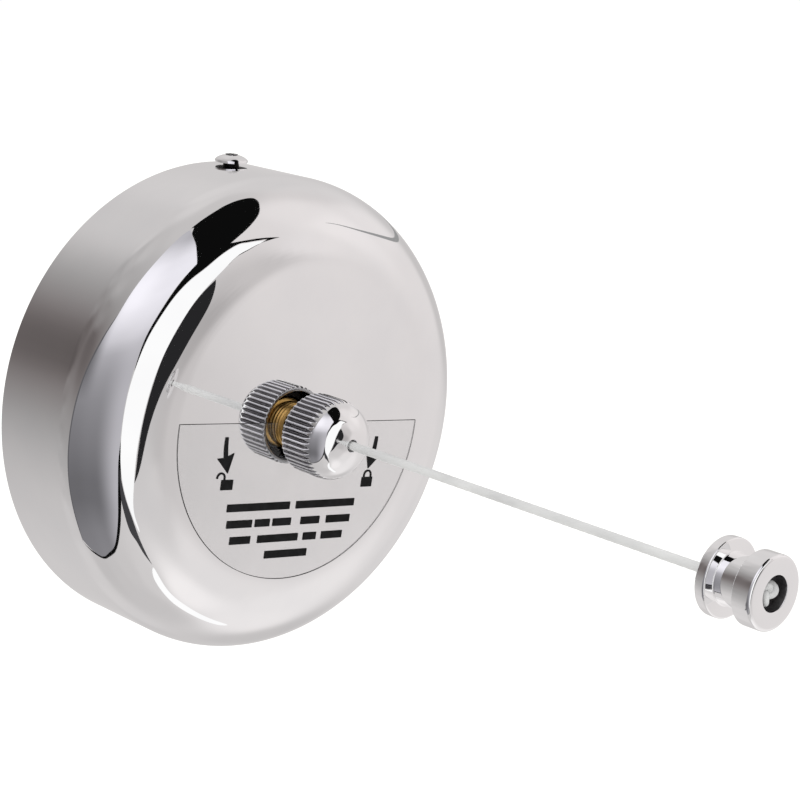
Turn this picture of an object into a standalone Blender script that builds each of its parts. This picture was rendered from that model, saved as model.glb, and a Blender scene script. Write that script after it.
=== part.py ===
"""A retractable clothesline: a round wall unit, its spring reel, its lock knob and the line's end bobbin.

The wall is the plane y = 0 and the unit's front looks along -Y. Z is up and X is to the right.
Turned pieces are given as (radius, distance) outlines, where distance is measured out from the wall,
or along X from the unit's middle for what sits on the reel's axle.
"""
import math

import bmesh
import bpy
from mathutils import Matrix, Vector

MM = 0.001
GAP = 0.3 * MM                       # air between neighbouring pieces

# Housing
HOUSING_RADIUS = 45.0 * MM
HOUSING_DEPTH = 30.6 * MM            # wall to the middle of the face
SHOULDER_RADIAL = 16.9 * MM
SHOULDER_AXIAL = 13.0 * MM
SHOULDER_END = math.radians(89.0)    # where the shoulder's curve runs into the barely crowned face
SHEET = 1.0 * MM                     # thickness of the drawn shell
PLATE_RADIUS = 43.3 * MM
PLATE_THICKNESS = 1.5 * MM

# Label on the face, a half-moon laid on by hand
LABEL_RADIUS = 28.6 * MM
LABEL_TOP = 1.25 * MM                # straight edge above the axis
LABEL_TILT = math.radians(-1.7)

# Screw that holds the cover to a lug of the wall plate
LUG_ANGLES = (93.0, 210.0, 330.0)    # degrees from +X towards +Z
LUG_HALF_WIDTH = 9.0                 # degrees
LUG_HEIGHT = 9.5 * MM
LUG_INNER = 41.6 * MM
LUG_OUTER = 42.8 * MM
COVER_SCREW_DEPTH = 4.6 * MM
SCREW_RADIUS = 1.5 * MM

# Line
LINE_RADIUS = 0.8 * MM
KNOB_TIP = 44.5 * MM
SPOOL_BACK = 129.3 * MM
SPOOL_LENGTH = 10.4 * MM
KNOT_DEPTH = 1.6 * MM                # middle of the knot, behind the bobbin's front
KNOT_RADIUS = 2.0 * MM
KNOT_HALF = 1.3 * MM

# Reel
REEL_DEPTH = 16.0 * MM               # axle's distance from the wall
WINDING_RADIUS = 10.5 * MM
AXLE_HEIGHT = -(WINDING_RADIUS + LINE_RADIUS + GAP)
AXLE_RADIUS = 2.0 * MM
FLANGE_RADIUS = 12.3 * MM
DRUM_HALF = 13.0 * MM                # half the space between the drum's flanges
FLANGE_THICKNESS = 1.5 * MM
CHAMBER_END = 22.3 * MM
ARM_LEFT = -17.5 * MM                # outer face of the bracket's left arm
ARM_RIGHT = 26.1 * MM                # outer face of the bracket's right arm
ARM_THICKNESS = 1.2 * MM
SPRING_TURNS = 7
SPRING_THICKNESS = 0.3 * MM

# Lock
STEM_RADIUS = 4.8 * MM
STEM_NECK = 3.9 * MM
STEM_BORE = 2.4 * MM
STEM_WAIST = 4.0 * MM                # smooth undercut between the foot and the thread
THREAD_START = 35.8 * MM
STEM_FRONT = 38.2 * MM
KNOB_BACK = 33.2 * MM
KNOB_CAVITY_END = 40.9 * MM
KNURL_END = 39.0 * MM                # where the barrel runs into the dome
KNOB_RADIUS = 7.42 * MM
KNURL_DEPTH = 0.4 * MM
KNURL_COUNT = 44

ROUND = 32                           # sides of a small turned piece
ROUND_HOUSING = 60


def clear_scene():
    for thing in list(bpy.data.objects):
        bpy.data.objects.remove(thing, do_unlink=True)


def material(name, color, metallic, roughness):
    made = bpy.data.materials.new(name)
    made.use_nodes = True
    shader = made.node_tree.nodes["Principled BSDF"]
    shader.inputs["Base Color"].default_value = (*color, 1.0)
    shader.inputs["Metallic"].default_value = metallic
    shader.inputs["Roughness"].default_value = roughness
    return made


def chrome(name):
    return material(name, (0.80, 0.80, 0.81), 1.0, 0.05)


def steel(name):
    return material(name, (0.56, 0.57, 0.58), 1.0, 0.35)


def brass(name):
    return material(name, (0.78, 0.57, 0.22), 1.0, 0.25)


def plastic(name, color):
    return material(name, color, 0.0, 0.45)


def cord(name):
    return material(name, (0.86, 0.86, 0.85), 0.0, 0.6)


def add_object(name, bm, look, spot=(0.0, 0.0, 0.0), turn=(0.0, 0.0, 0.0)):
    bmesh.ops.recalc_face_normals(bm, faces=bm.faces)
    mesh = bpy.data.meshes.new(name)
    bm.to_mesh(mesh)
    bm.free()
    mesh.shade_smooth()
    mesh.set_sharp_from_angle(angle=math.radians(35))
    made = bpy.data.objects.new(name, mesh)
    bpy.context.collection.objects.link(made)
    made.location = spot
    made.rotation_euler = turn
    if look:
        mesh.materials.append(look)
    return made


FORWARD = (math.radians(90), 0.0, 0.0)      # local +Z points out of the wall
SIDEWAYS = (0.0, math.radians(90), 0.0)     # local +Z points along +X
ON_AXLE = (0.0, -REEL_DEPTH, AXLE_HEIGHT)


def outline(bm, points):
    """A chain of edges in the XZ plane through (radius, distance) points."""
    verts = [bm.verts.new((radius, 0.0, along)) for radius, along in points]
    chain = [bm.edges.new(pair) for pair in zip(verts, verts[1:])]
    return verts, chain


def turned(name, points, look, spot=(0.0, 0.0, 0.0), turn=FORWARD, sides=ROUND, ring=True):
    """A solid of revolution. A ring's outline is closed. A plain solid's starts and ends on the axis."""
    bm = bmesh.new()
    verts, chain = outline(bm, points)
    if ring:
        chain.append(bm.edges.new((verts[-1], verts[0])))
    bmesh.ops.spin(bm, geom=verts + chain, cent=(0, 0, 0), axis=(0, 0, 1),
                   angle=math.tau, steps=sides, use_merge=True)
    bmesh.ops.remove_doubles(bm, verts=bm.verts, dist=1e-7)
    return add_object(name, bm, look, spot, turn)


def extruded(name, points, low, high, look, spot=(0.0, 0.0, 0.0), turn=(0.0, 0.0, 0.0)):
    """A flat outline in the XY plane, pulled from low to high along Z."""
    bm = bmesh.new()
    face = bm.faces.new([bm.verts.new((x, y, low)) for x, y in points])
    lifted = bmesh.ops.extrude_face_region(bm, geom=[face])["geom"]
    verts = [item for item in lifted if isinstance(item, bmesh.types.BMVert)]
    bmesh.ops.translate(bm, verts=verts, vec=(0, 0, high - low))
    return add_object(name, bm, look, spot, turn)


def arc(radius, start, end, steps, centre=(0.0, 0.0)):
    """Points on a circle, with its angles in degrees."""
    angles = [math.radians(start + (end - start) * i / steps) for i in range(steps + 1)]
    return [(centre[0] + radius * math.cos(a), centre[1] + radius * math.sin(a)) for a in angles]


def boolean(target, tool, operation):
    made = target.modifiers.new(operation.title() + " " + tool.name, "BOOLEAN")
    made.operation = operation
    made.object = tool
    made.solver = "EXACT"
    tool.hide_render = True
    tool.display_type = "WIRE"


def cut(target, *tools):
    for tool in tools:
        boolean(target, tool, "DIFFERENCE")


def join(target, *tools):
    for tool in tools:
        boolean(target, tool, "UNION")


def box_cutter(name, low, high):
    points = [(low[0], low[1]), (high[0], low[1]), (high[0], high[1]), (low[0], high[1])]
    return extruded(name, points, low[2], high[2], None)


def rod_cutter(name, radius, low, high, spot, turn, sides=32):
    return extruded(name, arc(radius, 0, 360 - 360 / sides, sides - 1), low, high, None, spot, turn)


# ---------------------------------------------------------------- housing

def shell_curve(inset):
    """Outline of the drawn shell from its rim on the wall to the stem's hole, moved inwards by inset."""
    radial = SHOULDER_RADIAL - inset
    axial = SHOULDER_AXIAL - inset
    centre = HOUSING_RADIUS - SHOULDER_RADIAL
    slope = axial / radial / math.tan(SHOULDER_END)
    edge = centre + radial * math.cos(SHOULDER_END)
    crown = slope * edge / 2
    wall_end = HOUSING_DEPTH - inset - crown - axial * math.sin(SHOULDER_END)
    points = [(HOUSING_RADIUS - inset, 0.0)]
    for i in range(8):
        angle = SHOULDER_END * i / 7
        points.append((centre + radial * math.cos(angle), wall_end + axial * math.sin(angle)))
    hole = STEM_NECK + GAP
    for i in range(1, 4):
        radius = edge + (hole - edge) * i / 3
        points.append((radius, HOUSING_DEPTH - inset - slope * radius * radius / (2 * edge)))
    return points


def face_depth(radius):
    """Distance of the crowned face from the wall."""
    slope = SHOULDER_AXIAL / SHOULDER_RADIAL / math.tan(SHOULDER_END)
    edge = HOUSING_RADIUS - SHOULDER_RADIAL + SHOULDER_RADIAL * math.cos(SHOULDER_END)
    return HOUSING_DEPTH - slope * radius * radius / (2 * edge)


def screw_turn():
    """Rotation that points local +Z out through the cover where its screw sits."""
    return (0.0, math.radians(90 - LUG_ANGLES[0]), 0.0)


def cover_shell():
    points = shell_curve(0.0) + list(reversed(shell_curve(SHEET)))
    shell = turned("cover_shell", points, chrome("polished_shell"), sides=ROUND_HOUSING)
    spot = (0.0, -COVER_SCREW_DEPTH, 0.0)
    cut(shell, rod_cutter("cutter_cover_hole", SCREW_RADIUS + GAP, HOUSING_RADIUS - 4 * MM,
                          HOUSING_RADIUS + 4 * MM, spot, screw_turn()))


def cover_screw():
    """A round-headed screw with a six-sided socket, and the spacer ring under the cover."""
    seat = HOUSING_RADIUS + 0.5 * MM
    head_radius = 3.15 * MM
    head_height = 1.5 * MM
    tip = HOUSING_RADIUS - 8.0 * MM
    rim_angle = math.radians(15)
    points = [(0.0, tip), (SCREW_RADIUS, tip), (SCREW_RADIUS, seat), (head_radius, seat)]
    for i in range(7):
        angle = rim_angle + math.radians(10 * i)
        reach = head_radius * math.cos(angle) / math.cos(rim_angle)
        points.append((reach, seat + head_height * math.sin(angle)))
    points.append((0.0, seat + head_height))
    spot = (0.0, -COVER_SCREW_DEPTH, 0.0)
    screw = turned("cover_screw", points, chrome("screw_chrome"), spot, screw_turn(), 24, False)
    cut(screw, rod_cutter("cutter_socket", 1.1 * MM, seat + 0.4 * MM, seat + 4 * MM, spot, screw_turn(), 6))
    bore = SCREW_RADIUS + GAP
    low = LUG_OUTER + GAP
    high = HOUSING_RADIUS - SHEET - GAP
    ring = [(bore, low), (2.8 * MM, low), (2.8 * MM, high), (bore, high)]
    turned("cover_screw_washer", ring, steel("screw_washer_steel"), spot, screw_turn(), 24)


def wall_lug(index, angle):
    inner = arc(LUG_INNER, angle + LUG_HALF_WIDTH, angle - LUG_HALF_WIDTH, 6)
    outer = arc(LUG_OUTER, angle - LUG_HALF_WIDTH, angle + LUG_HALF_WIDTH, 6)
    return extruded("guide_lug_%d" % index, inner + outer, 0.6 * MM, LUG_HEIGHT, None, turn=FORWARD)


def wall_plate():
    points = [(0.0, 0.0), (PLATE_RADIUS, 0.0), (PLATE_RADIUS, PLATE_THICKNESS), (0.0, PLATE_THICKNESS)]
    plate = turned("wall_plate", points, steel("plate_steel"), sides=ROUND_HOUSING, ring=False)
    join(plate, *[wall_lug(i, angle) for i, angle in enumerate(LUG_ANGLES)])
    for i, (x, z) in enumerate(((-34, 8), (34, 8), (0, -37))):
        cut(plate, rod_cutter("cutter_wall_hole_%d" % i, 2.25 * MM, -1 * MM, 3 * MM,
                              (x * MM, 0.0, z * MM), FORWARD, 24))
    for i, (x, z) in enumerate(FRAME_SCREWS):
        cut(plate, rod_cutter("cutter_plate_hole_%d" % i, SCREW_RADIUS + GAP, -1 * MM, 3 * MM,
                              (x, 0.0, z), FORWARD, 16))
    spot = (0.0, -COVER_SCREW_DEPTH, 0.0)
    cut(plate, rod_cutter("cutter_lug_hole", SCREW_RADIUS + GAP, HOUSING_RADIUS - 6 * MM,
                          HOUSING_RADIUS, spot, screw_turn(), 24))


def instruction_label():
    """A thin half-moon film that follows the crown of the face and leaves room for the stem."""
    rows = 3
    columns = 20
    inner = 6.4 * MM
    bm = bmesh.new()
    layers = []
    for lift in (GAP, GAP + 0.15 * MM):
        grid = []
        for i in range(rows + 1):
            radius = inner + (LABEL_RADIUS - inner) * i / rows
            rise = math.asin(LABEL_TOP / radius)
            start = math.pi - rise + LABEL_TILT
            sweep = math.pi + 2 * rise
            line = []
            for j in range(columns + 1):
                angle = start + sweep * j / columns
                line.append(bm.verts.new((radius * math.cos(angle), radius * math.sin(angle),
                                          face_depth(radius) + lift)))
            grid.append(line)
        layers.append(grid)
    for grid in layers:
        for i in range(rows):
            for j in range(columns):
                bm.faces.new((grid[i][j], grid[i + 1][j], grid[i + 1][j + 1], grid[i][j + 1]))
    rim = [edge for edge in bm.edges if edge.is_boundary]
    bmesh.ops.bridge_loops(bm, edges=rim)
    add_object("instruction_label", bm, plastic("label_film", (0.78, 0.78, 0.78)), turn=FORWARD)


# ---------------------------------------------------------------- reel frame

FRAME_SCREWS = ((-10 * MM, 7 * MM), (18 * MM, 7 * MM), (-10 * MM, -28 * MM), (18 * MM, -28 * MM))


def bracket_arm(name, low):
    """A flat arm with a round end about the axle, standing on the bracket's base."""
    end_radius = 6.0 * MM
    foot_half = end_radius + 3 * MM
    foot_reach = REEL_DEPTH - 2.2 * MM
    points = arc(end_radius, -180, 0, 12) + [(foot_half, foot_reach), (-foot_half, foot_reach)]
    return extruded(name, points, low, low + ARM_THICKNESS, None, ON_AXLE, SIDEWAYS)


def reel_frame():
    base_back = PLATE_THICKNESS + GAP
    frame = box_cutter("reel_frame", (ARM_LEFT, -base_back - 1.0 * MM, -32 * MM),
                       (ARM_RIGHT, -base_back, 11 * MM))
    frame.data.materials.append(steel("frame_steel"))
    join(frame, bracket_arm("guide_arm_left", ARM_LEFT),
         bracket_arm("guide_arm_right", ARM_RIGHT - ARM_THICKNESS))
    for i, (x, z) in enumerate(FRAME_SCREWS):
        cut(frame, rod_cutter("cutter_frame_hole_%d" % i, SCREW_RADIUS + GAP, 0.0, 6 * MM,
                              (x, 0.0, z), FORWARD, 16))
    cut(frame, rod_cutter("cutter_axle_holes", AXLE_RADIUS + GAP, ARM_LEFT - 2 * MM,
                          ARM_RIGHT + 2 * MM, ON_AXLE, SIDEWAYS, 32))


def frame_screws():
    seat = PLATE_THICKNESS + 2 * GAP + 1.0 * MM
    points = [(0.0, 0.2 * MM), (SCREW_RADIUS, 0.2 * MM), (SCREW_RADIUS, seat), (2.8 * MM, seat),
              (2.8 * MM, seat + 0.5 * MM), (2.0 * MM, seat + 1.1 * MM), (0.0, seat + 1.2 * MM)]
    for i, (x, z) in enumerate(FRAME_SCREWS):
        turned("frame_screw_%d" % (i + 1), points, steel("frame_screw_steel_%d" % (i + 1)),
               (x, 0.0, z), FORWARD, 20, False)


# ---------------------------------------------------------------- reel

def reel_axle():
    left = ARM_LEFT - 2.6 * MM
    right = ARM_RIGHT + 2.6 * MM
    groove = 1.5 * MM
    points = [(0.0, left), (AXLE_RADIUS - 0.3 * MM, left), (AXLE_RADIUS, left + 0.3 * MM)]
    for low in (ARM_LEFT - 1.4 * MM, ARM_RIGHT + 0.3 * MM):
        high = low + 1.1 * MM
        points += [(AXLE_RADIUS, low), (groove, low), (groove, high), (AXLE_RADIUS, high)]
    points += [(AXLE_RADIUS, right - 0.3 * MM), (AXLE_RADIUS - 0.3 * MM, right), (0.0, right)]
    axle = turned("reel_axle", points, steel("axle_steel"), ON_AXLE, SIDEWAYS, 24, False)
    slit = box_cutter("cutter_axle_slit", (15.4 * MM, -0.5 * MM, 0.4 * MM), (22.0 * MM, 0.5 * MM, 3 * MM))
    slit.location = ON_AXLE
    cut(axle, slit)


def axle_clip(name, low):
    """A C-shaped retaining clip with its mouth upwards."""
    points = arc(1.8 * MM, 120, 420, 20) + arc(3.8 * MM, 420, 120, 20)
    extruded(name, [(-y, x) for x, y in points], low, low + 0.5 * MM, steel(name + "_steel"),
             ON_AXLE, SIDEWAYS)


def thrust_washer(name, low, thickness):
    points = [(AXLE_RADIUS + GAP, low), (4.4 * MM, low), (4.4 * MM, low + thickness),
              (AXLE_RADIUS + GAP, low + thickness)]
    turned(name, points, plastic(name + "_nylon", (0.82, 0.80, 0.74)), ON_AXLE, SIDEWAYS, 24)


def reel_drum():
    left = -DRUM_HALF - FLANGE_THICKNESS
    floor = DRUM_HALF + FLANGE_THICKNESS
    bore = 3.3 * MM
    core = 5.0 * MM
    chamber = 11.3 * MM
    points = [(bore, left), (FLANGE_RADIUS, left), (FLANGE_RADIUS, -DRUM_HALF), (core, -DRUM_HALF),
              (core, DRUM_HALF), (FLANGE_RADIUS, DRUM_HALF), (FLANGE_RADIUS, CHAMBER_END),
              (chamber, CHAMBER_END), (chamber, floor), (bore, floor)]
    drum = turned("reel_drum", points, plastic("drum_plastic", (0.90, 0.89, 0.86)), ON_AXLE, SIDEWAYS)
    notch = box_cutter("cutter_spring_notch", (floor + 0.8 * MM, -1.2 * MM, 10.6 * MM),
                       (CHAMBER_END + 1 * MM, 1.2 * MM, 13 * MM))
    notch.location = ON_AXLE
    cut(drum, notch)
    cut(drum, rod_cutter("cutter_line_hole", LINE_RADIUS + GAP, left - 1 * MM, -DRUM_HALF + 1 * MM,
                         (ON_AXLE[0], ON_AXLE[1], ON_AXLE[2] + 8.5 * MM), SIDEWAYS, 16))


def drum_bush(name, low, high, flange_low):
    """A plain bush with a flange of 0.5 mm that starts at flange_low."""
    bore = AXLE_RADIUS + GAP
    outer = 3.0 * MM
    flange = 4.4 * MM
    thick = 0.5 * MM
    if flange_low < low:
        points = [(bore, flange_low), (flange, flange_low), (flange, flange_low + thick),
                  (outer, flange_low + thick), (outer, high), (bore, high)]
    else:
        points = [(bore, low), (outer, low), (outer, flange_low), (flange, flange_low),
                  (flange, flange_low + thick), (bore, flange_low + thick)]
    turned(name, points, brass(name + "_bronze"), ON_AXLE, SIDEWAYS, 24)


def spring_path():
    """Centre line of the spiral spring, from its tail in the axle's slit to its hook in the chamber wall."""
    inner = 2.9 * MM
    outer = 10.7 * MM
    steps = 16
    path = [Vector((0.0, 1.0 * MM)), Vector((0.0, 2.2 * MM))]
    for i in range(2, SPRING_TURNS * steps - 1):
        share = i / (SPRING_TURNS * steps)
        angle = math.tau * SPRING_TURNS * share + math.pi / 2
        radius = inner + (outer - inner) * share
        path.append(Vector((radius * math.cos(angle), radius * math.sin(angle))))
    path.append(Vector((0.35 * MM, outer + 0.1 * MM)))
    path.append(Vector((0.2 * MM, outer + 1.0 * MM)))
    return path


def power_spring():
    path = spring_path()
    left = []
    right = []
    for i, point in enumerate(path):
        along = (path[min(i + 1, len(path) - 1)] - path[max(i - 1, 0)]).normalized()
        side = Vector((-along.y, along.x)) * SPRING_THICKNESS / 2
        left.append(point + side)
        right.append(point - side)
    bm = bmesh.new()
    rails = []
    for low in (15.9 * MM, 21.4 * MM):
        rails.append([[bm.verts.new((p.x, p.y, low)) for p in line] for line in (left, right)])
    for i in range(len(path) - 1):
        for first, second in ((rails[0][0], rails[0][1]), (rails[1][0], rails[1][1]),
                              (rails[0][0], rails[1][0]), (rails[0][1], rails[1][1])):
            bm.faces.new((first[i], first[i + 1], second[i + 1], second[i]))
    for i in (0, -1):
        bm.faces.new((rails[0][0][i], rails[0][1][i], rails[1][1][i], rails[1][0][i]))
    quarter = Matrix.Rotation(math.radians(90), 4, "Z")
    bmesh.ops.transform(bm, matrix=quarter, verts=bm.verts)
    add_object("power_spring", bm, steel("spring_steel"), ON_AXLE, SIDEWAYS)


def spring_cover():
    lip = 10.9 * MM
    bore = AXLE_RADIUS + GAP
    low = CHAMBER_END + GAP
    points = [(bore, low - 0.5 * MM), (lip, low - 0.5 * MM), (lip, low), (FLANGE_RADIUS, low),
              (FLANGE_RADIUS, low + 1.0 * MM), (bore, low + 1.0 * MM)]
    turned("spring_cover", points, plastic("spring_cover_plastic", (0.90, 0.89, 0.86)), ON_AXLE, SIDEWAYS)


def line_winding():
    half = DRUM_HALF - GAP
    points = [(5.3 * MM, -half), (WINDING_RADIUS, -half), (WINDING_RADIUS, half), (5.3 * MM, half)]
    turned("line_winding", points, cord("winding_cord"), ON_AXLE, SIDEWAYS)


def line_end_knot():
    spot = (-DRUM_HALF - FLANGE_THICKNESS - GAP, -REEL_DEPTH, AXLE_HEIGHT + 8.5 * MM)
    points = [(0.0, 0.0), (1.1 * MM, 0.0), (1.5 * MM, -0.3 * MM), (1.5 * MM, -0.7 * MM),
              (1.0 * MM, -1.05 * MM), (0.0, -1.15 * MM)]
    turned("line_end_knot", points, cord("end_knot_cord"), spot, SIDEWAYS, 16, False)


# ---------------------------------------------------------------- lock

def lock_stem():
    seat = HOUSING_DEPTH + GAP
    back = 25.6 * MM
    chamfer = 0.4 * MM
    points = [(STEM_BORE, back), (STEM_NECK - chamfer, back), (STEM_NECK, back + chamfer),
              (STEM_NECK, seat), (STEM_RADIUS, seat), (STEM_RADIUS, seat + 0.5 * MM),
              (STEM_WAIST, seat + 0.7 * MM), (STEM_WAIST, THREAD_START - 0.3 * MM),
              (STEM_RADIUS, THREAD_START), (STEM_RADIUS, STEM_FRONT - chamfer),
              (STEM_RADIUS - chamfer, STEM_FRONT), (3.9 * MM, STEM_FRONT), (STEM_BORE, 34.4 * MM)]
    turned("lock_stem", points, brass("stem_brass"))


def stem_fixings():
    face_inside = HOUSING_DEPTH - SHEET - GAP
    thickness = 0.8 * MM
    bore = STEM_NECK + GAP
    points = [(bore, face_inside - thickness), (7.2 * MM, face_inside - thickness),
              (7.2 * MM, face_inside - 0.05 * MM), (bore, face_inside)]
    turned("stem_washer", points, steel("stem_washer_steel"))
    nut_front = face_inside - thickness - GAP
    corner = 6.5 * MM / math.cos(math.radians(30))
    nut = extruded("stem_nut", arc(corner, 0, 300, 5), nut_front - 2.4 * MM, nut_front,
                   steel("stem_nut_steel"), turn=FORWARD)
    cut(nut, rod_cutter("cutter_nut_bore", bore, 20 * MM, 32 * MM, (0, 0, 0), FORWARD, 32))


def line_guide():
    flange_back = 24.4 * MM
    flange_front = 25.3 * MM
    bore = LINE_RADIUS + GAP
    outer = STEM_BORE - GAP
    points = [(bore + 0.4 * MM, flange_back), (3.4 * MM, flange_back), (3.6 * MM, flange_back + 0.3 * MM),
              (3.6 * MM, flange_front), (outer, flange_front), (outer, 33.0 * MM), (bore, 33.0 * MM),
              (bore, flange_back + 0.4 * MM)]
    turned("line_guide", points, plastic("guide_nylon", (0.92, 0.92, 0.90)), sides=24)


def clamp_collet():
    bore = LINE_RADIUS + GAP
    points = [(bore, 35.6 * MM), (2.1 * MM, 35.6 * MM), (3.35 * MM, 38.5 * MM), (4.6 * MM, 38.5 * MM),
              (4.6 * MM, 40.6 * MM), (bore, 40.6 * MM)]
    collet = turned("clamp_collet", points, brass("collet_brass"), sides=24)
    for i, size in enumerate(((6 * MM, 0.3 * MM), (0.3 * MM, 6 * MM))):
        cut(collet, box_cutter("cutter_slit_%d" % i, (-size[0], -38.0 * MM, -size[1]),
                               (size[0], -35.0 * MM, size[1])))


def knob_rings():
    """The knob's rings from its bore, round its counterbored back and its dome, into the line's hole.

    Each ring is (radius, distance from the wall, depth of the knurl's grooves)."""
    cavity = STEM_RADIUS + GAP
    hole = LINE_RADIUS + GAP
    relief = 6.5 * MM
    relief_end = KNOB_BACK + 2.6 * MM
    rings = [(hole, KNOB_CAVITY_END, 0.0), (cavity, KNOB_CAVITY_END, 0.0), (cavity, relief_end, 0.0),
             (relief, relief_end, 0.0), (relief, KNOB_BACK, 0.0), (KNOB_RADIUS - 0.5 * MM, KNOB_BACK, 0.0),
             (KNOB_RADIUS, KNOB_BACK + 0.4 * MM, KNURL_DEPTH), (KNOB_RADIUS, KNURL_END, KNURL_DEPTH)]
    rise = KNOB_TIP - KNURL_END
    for i in range(1, 9):
        angle = math.radians(9.5 * i)
        grooves = KNURL_DEPTH * max(0.0, 1 - i / 2)
        rings.append((KNOB_RADIUS * math.cos(angle), KNURL_END + rise * math.sin(angle), grooves))
    rings.append((hole, KNOB_TIP - 0.06 * MM, 0.0))
    return rings


def lock_knob():
    bm = bmesh.new()
    count = 2 * KNURL_COUNT
    loops = []
    for radius, along, grooves in knob_rings():
        loop = []
        for j in range(count):
            angle = math.tau * j / count
            reach = radius - grooves * (j % 2)
            loop.append(bm.verts.new((reach * math.cos(angle), reach * math.sin(angle), along - KNOB_BACK)))
        loops.append(loop)
    for first, second in zip(loops, loops[1:] + loops[:1]):
        for j in range(count):
            bm.faces.new((first[j], first[(j + 1) % count], second[(j + 1) % count], second[j]))
    add_object("lock_knob", bm, chrome("knob_chrome"), (0.0, -KNOB_BACK, 0.0), FORWARD)


# ---------------------------------------------------------------- line and bobbin

def line_tube(name, start, end, look):
    curve = bpy.data.curves.new(name, "CURVE")
    curve.dimensions = "3D"
    curve.bevel_depth = LINE_RADIUS
    curve.bevel_resolution = 2
    curve.use_fill_caps = True
    spline = curve.splines.new("POLY")
    count = max(2, round((end - start) / (4 * LINE_RADIUS)))
    spline.points.add(count)
    for i, point in enumerate(spline.points):
        point.co = (0.0, -(start + (end - start) * i / count), 0.0, 1.0)
    curve.materials.append(look)
    made = bpy.data.objects.new(name, curve)
    bpy.context.collection.objects.link(made)


def end_spool():
    """A bobbin with a wide back flange, a waist for the bracket's fork, and a recessed front flange."""
    front = SPOOL_LENGTH
    bore = LINE_RADIUS + 2 * GAP
    back_radius = 6.4 * MM
    back_thickness = 2.0 * MM
    front_radius = 6.0 * MM
    front_start = 6.8 * MM
    waist = 4.2 * MM
    recess = 2.9 * MM
    recess_floor = front - 3.3 * MM
    edge = 0.3 * MM
    back_flange = [(bore, 0.0), (back_radius - edge, 0.0), (back_radius, edge),
                   (back_radius, back_thickness - edge), (back_radius - edge, back_thickness)]
    groove = [(waist, back_thickness), (waist, front_start)]
    front_flange = [(front_radius - edge, front_start), (front_radius, front_start + edge),
                    (front_radius, front - 2 * edge), (front_radius - edge, front - edge / 2),
                    (front_radius - 2 * edge, front)]
    pocket = [(recess, front), (recess, recess_floor), (bore, recess_floor)]
    points = back_flange + groove + front_flange + pocket
    turned("end_spool", points, chrome("spool_chrome"), (0.0, -SPOOL_BACK, 0.0))


def line_knot():
    """A tight round knot that fills most of the bobbin's recess."""
    points = [(KNOT_RADIUS * math.sin(math.radians(a)), -KNOT_HALF * math.cos(math.radians(a)))
              for a in range(0, 181, 18)]
    points[0] = (0.0, -KNOT_HALF)
    points[-1] = (0.0, KNOT_HALF)
    spot = (-0.5 * MM, -(SPOOL_BACK + SPOOL_LENGTH - KNOT_DEPTH), 0.0)
    turned("line_knot", points, cord("knot_cord"), spot, FORWARD, 24, False)


def build():
    clear_scene()
    cover_shell()
    cover_screw()
    wall_plate()
    instruction_label()
    reel_frame()
    frame_screws()
    reel_axle()
    axle_clip("axle_clip_left", ARM_LEFT - 1.1 * MM)
    axle_clip("axle_clip_right", ARM_RIGHT + 0.6 * MM)
    thrust_washer("thrust_washer_left", ARM_LEFT + ARM_THICKNESS + GAP, 0.4 * MM)
    thrust_washer("thrust_washer_right", CHAMBER_END + 1.6 * MM, 0.6 * MM)
    reel_drum()
    drum_bush("drum_bush_left", -14.5 * MM, -9.0 * MM, -15.3 * MM)
    drum_bush("drum_bush_right", 9.0 * MM, 14.5 * MM, 14.8 * MM)
    power_spring()
    spring_cover()
    line_winding()
    line_end_knot()
    lock_stem()
    stem_fixings()
    line_guide()
    clamp_collet()
    lock_knob()
    line_tube("line_inner_run", REEL_DEPTH - 2.0 * MM, KNOB_TIP - GAP, cord("inner_cord"))
    line_end = SPOOL_BACK + SPOOL_LENGTH - KNOT_DEPTH - KNOT_HALF - GAP
    line_tube("line_free", KNOB_TIP, line_end, cord("free_cord"))
    end_spool()
    line_knot()


build()
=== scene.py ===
"""Looks of a retractable clothesline: a chrome wall unit with lock knob, line and end bobbin."""
import math

import bmesh
import bpy
import numpy as np
from mathutils import Matrix, Vector
from mathutils.geometry import delaunay_2d_cdt


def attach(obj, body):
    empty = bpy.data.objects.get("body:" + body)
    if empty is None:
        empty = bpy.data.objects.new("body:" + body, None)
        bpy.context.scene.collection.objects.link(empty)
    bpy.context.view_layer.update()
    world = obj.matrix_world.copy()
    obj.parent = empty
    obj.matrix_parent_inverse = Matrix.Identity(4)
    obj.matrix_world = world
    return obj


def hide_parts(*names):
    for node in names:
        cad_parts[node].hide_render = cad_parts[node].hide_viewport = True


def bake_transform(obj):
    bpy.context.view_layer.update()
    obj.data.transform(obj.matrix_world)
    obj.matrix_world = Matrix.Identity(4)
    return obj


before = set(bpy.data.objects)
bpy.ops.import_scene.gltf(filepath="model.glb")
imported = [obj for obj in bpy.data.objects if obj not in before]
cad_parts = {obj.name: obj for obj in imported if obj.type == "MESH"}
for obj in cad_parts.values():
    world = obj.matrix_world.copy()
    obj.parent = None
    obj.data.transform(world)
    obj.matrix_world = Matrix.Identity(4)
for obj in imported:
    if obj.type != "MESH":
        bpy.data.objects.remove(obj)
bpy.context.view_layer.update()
scene = bpy.context.scene

MM = 0.001

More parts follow.
